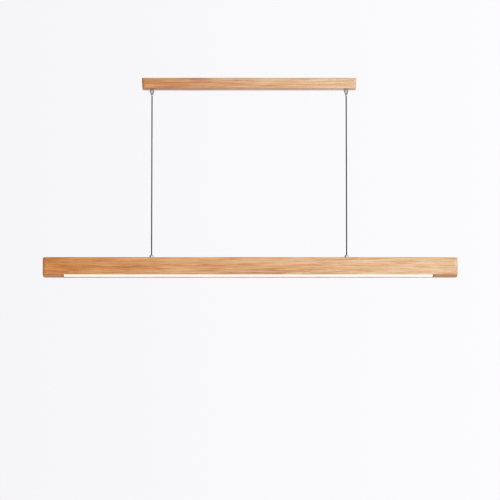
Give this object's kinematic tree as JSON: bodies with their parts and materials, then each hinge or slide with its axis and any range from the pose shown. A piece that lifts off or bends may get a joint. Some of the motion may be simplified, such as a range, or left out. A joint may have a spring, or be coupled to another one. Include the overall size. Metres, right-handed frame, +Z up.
{
  "type": "linear pendant lamp",
  "caption": "Wooden linear pendant lamp: a lit bar hung level on thin cables from a matching wooden ceiling canopy.",
  "frame": {"origin": "ceiling plane, at the middle of the canopy's fixing bracket", "axes": "+Z up to the ceiling, X along the lamp, -Y its front"},
  "size_m": [1.2, 0.06, 0.581],
  "materials": {
    "oak": "satin oiled",
    "oak_edge": "satin oiled",
    "chrome": "polished",
    "zinc_steel": "zinc plated",
    "spring_steel": "drawn wire",
    "brass": "turned",
    "aluminium": "satin anodised",
    "cable_sheath": "matte PVC",
    "white_lead": "matte PVC",
    "brown_lead": "matte PVC",
    "blue_lead": "matte PVC",
    "opal": "opal acrylic, lit",
    "white_board": "solder mask",
    "white_plastic": "moulded",
    "grey_plastic": "moulded",
    "black_plastic": "moulded"
  },
  "bodies": {
    "canopy": {"canopy_shell": "oak", "ceiling_bracket": "zinc_steel", "driver_case": "white_plastic", "driver_lid": "white_plastic", "terminal_block": "white_plastic", "mains_lead_live": "brown_lead", "mains_lead_neutral": "blue_lead", "output_lead_left": "white_lead", "output_lead_right": "white_lead", "left_canopy_screw": "chrome", "left_spare_cable": "cable_sheath", "left_cable_tie": "black_plastic", "left_cable_feed": "cable_sheath", "left_swivel_socket": "chrome", "left_socket_plug": "zinc_steel", "left_socket_washer": "zinc_steel", "left_socket_nut": "zinc_steel", "right_canopy_screw": "chrome", "right_spare_cable": "cable_sheath", "right_cable_tie": "black_plastic", "right_cable_feed": "cable_sheath", "right_swivel_socket": "chrome", "right_socket_plug": "zinc_steel", "right_socket_washer": "zinc_steel", "right_socket_nut": "zinc_steel"},
    "left_liner": {"left_swivel_liner": "grey_plastic"},
    "left_gripper": {"left_gripper": "chrome", "left_spring": "spring_steel", "left_gripped_cable": "cable_sheath"},
    "left_plunger": {"left_plunger": "chrome"},
    "left_drop": {"left_cable": "cable_sheath", "left_cable_stop": "brass"},
    "right_liner": {"right_swivel_liner": "grey_plastic"},
    "right_gripper": {"right_gripper": "chrome", "right_spring": "spring_steel", "right_gripped_cable": "cable_sheath"},
    "right_plunger": {"right_plunger": "chrome"},
    "right_drop": {"right_cable": "cable_sheath", "right_cable_stop": "brass"},
    "beam": {"beam": "oak", "led_channel": "aluminium", "diffuser": "opal", "front_led_strip": "white_board", "back_led_strip": "white_board", "channel_screw_1": "zinc_steel", "channel_screw_2": "zinc_steel", "channel_screw_3": "zinc_steel", "channel_screw_4": "zinc_steel", "left_end_cap": "oak_edge", "left_junction": "white_plastic", "left_ferrule": "chrome", "left_anchor_washer": "zinc_steel", "left_anchor_nut": "zinc_steel", "left_core_lead": "white_lead", "right_end_cap": "oak_edge", "right_junction": "white_plastic", "right_ferrule": "chrome", "right_anchor_washer": "zinc_steel", "right_anchor_nut": "zinc_steel", "right_core_lead": "white_lead"}
  },
  "joints": [
    {"name": "left_swing", "type": "hinge", "parent": "canopy", "child": "left_liner", "pos_m": [-0.2825, 0, -0.0278], "axis": [1, 0, 0], "range_deg": [-10, 10]},
    {"name": "left_sway", "type": "hinge", "parent": "left_liner", "child": "left_gripper", "pos_m": [-0.2825, 0, -0.0278], "axis": [0, 1, 0], "range_deg": [-8, 8]},
    {"name": "left_release", "type": "slide", "parent": "left_gripper", "child": "left_plunger", "axis": [0, 0, 1], "range_m": [0, 0.002], "stiffness_N_per_m": 300, "springref_m": -0.003, "deforming": ["left_spring"]},
    {"name": "left_height", "type": "slide", "parent": "left_gripper", "child": "left_drop", "axis": [0, 0, 1], "range_m": [-0.5, 0.3], "deforming": ["left_cable"]},
    {"name": "right_swing", "type": "hinge", "parent": "canopy", "child": "right_liner", "pos_m": [0.2825, 0, -0.0278], "axis": [1, 0, 0], "range_deg": [-10, 10]},
    {"name": "right_sway", "type": "hinge", "parent": "right_liner", "child": "right_gripper", "pos_m": [0.2825, 0, -0.0278], "axis": [0, 1, 0], "range_deg": [-8, 8]},
    {"name": "right_release", "type": "slide", "parent": "right_gripper", "child": "right_plunger", "axis": [0, 0, 1], "range_m": [0, 0.002], "stiffness_N_per_m": 300, "springref_m": -0.003, "deforming": ["right_spring"]},
    {"name": "right_height", "type": "slide", "parent": "right_gripper", "child": "right_drop", "axis": [0, 0, 1], "range_m": [-0.5, 0.3], "deforming": ["right_cable"]},
    {"name": "beam_level", "type": "hinge", "parent": "left_drop", "child": "beam", "pos_m": [-0.2825, 0, -0.526], "axis": [0, 1, 0], "range_deg": [-8, 8]}
  ],
  "couplings": [
    {"joint": "right_swing", "follows": "left_swing", "ratio": 1},
    {"joint": "right_sway", "follows": "left_sway", "ratio": 1},
    {"joint": "beam_level", "follows": "left_sway", "ratio": -1},
    {"joint": "right_height", "follows": "left_height", "ratio": 1}
  ]
}
